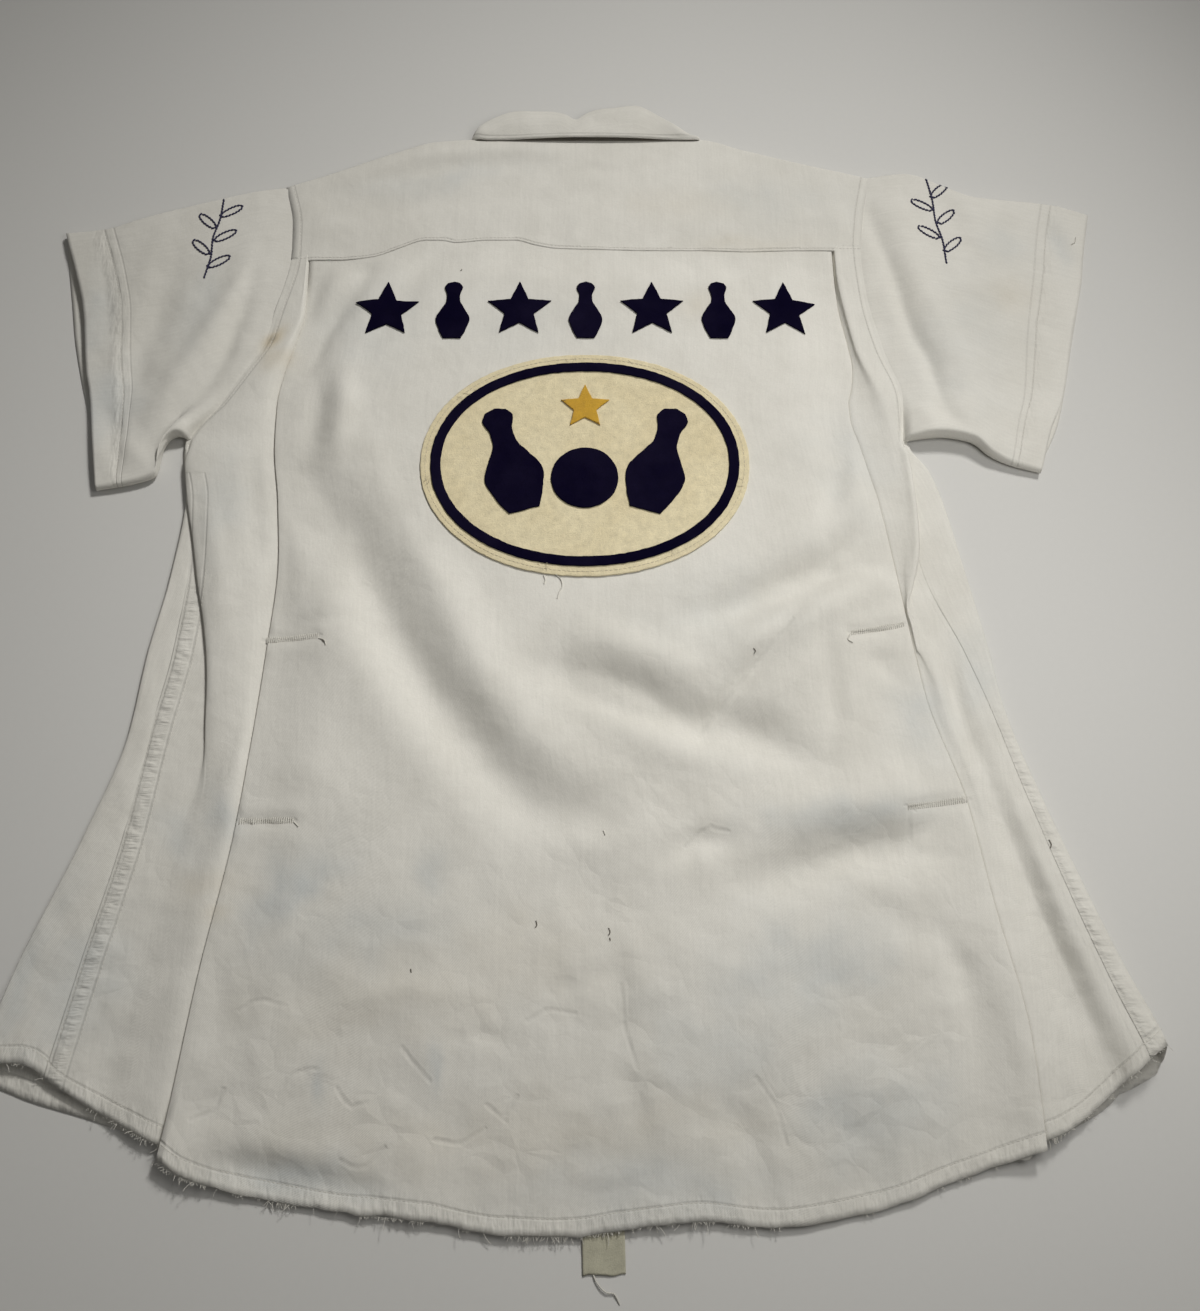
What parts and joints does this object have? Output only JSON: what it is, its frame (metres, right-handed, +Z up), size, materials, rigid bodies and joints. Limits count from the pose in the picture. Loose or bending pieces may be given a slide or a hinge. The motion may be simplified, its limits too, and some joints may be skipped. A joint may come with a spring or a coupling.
{
  "type": "bowling shirt",
  "caption": "Short-sleeved button-front shirt with a yoke, a pleated back and felt motifs, laid flat with its back up.",
  "frame": {"origin": "on the surface that the shirt lies on, under the middle of its box", "axes": "+Z up, out of the shirt's back; +Y from hem to collar; +X to the wearer's right"},
  "size_m": [0.7355, 0.7801, 0.0131],
  "materials": {
    "white_cloth": "matte off-white gabardine",
    "cream_felt": "matte cream wool felt",
    "navy_felt": "matte dark navy wool felt",
    "gold_felt": "matte gold wool felt",
    "pearl_button": "pearly white plastic",
    "label_tape": "blank beige woven tape"
  },
  "bodies": {
    "root": {"back": "white_cloth", "yoke": "white_cloth", "front_left": "white_cloth", "front_right": "white_cloth", "sleeve_left": "white_cloth", "sleeve_right": "white_cloth", "collar": "white_cloth", "button_1": "pearl_button", "button_2": "pearl_button", "button_3": "pearl_button", "button_4": "pearl_button", "button_5": "pearl_button", "patch": "cream_felt", "patch_ring": "navy_felt", "patch_pin_1": "navy_felt", "patch_pin_2": "navy_felt", "patch_ball": "navy_felt", "patch_star": "gold_felt", "star_1": "navy_felt", "star_2": "navy_felt", "star_3": "navy_felt", "star_4": "navy_felt", "pin_1": "navy_felt", "pin_2": "navy_felt", "pin_3": "navy_felt", "label": "label_tape"}
  },
  "joints": []
}
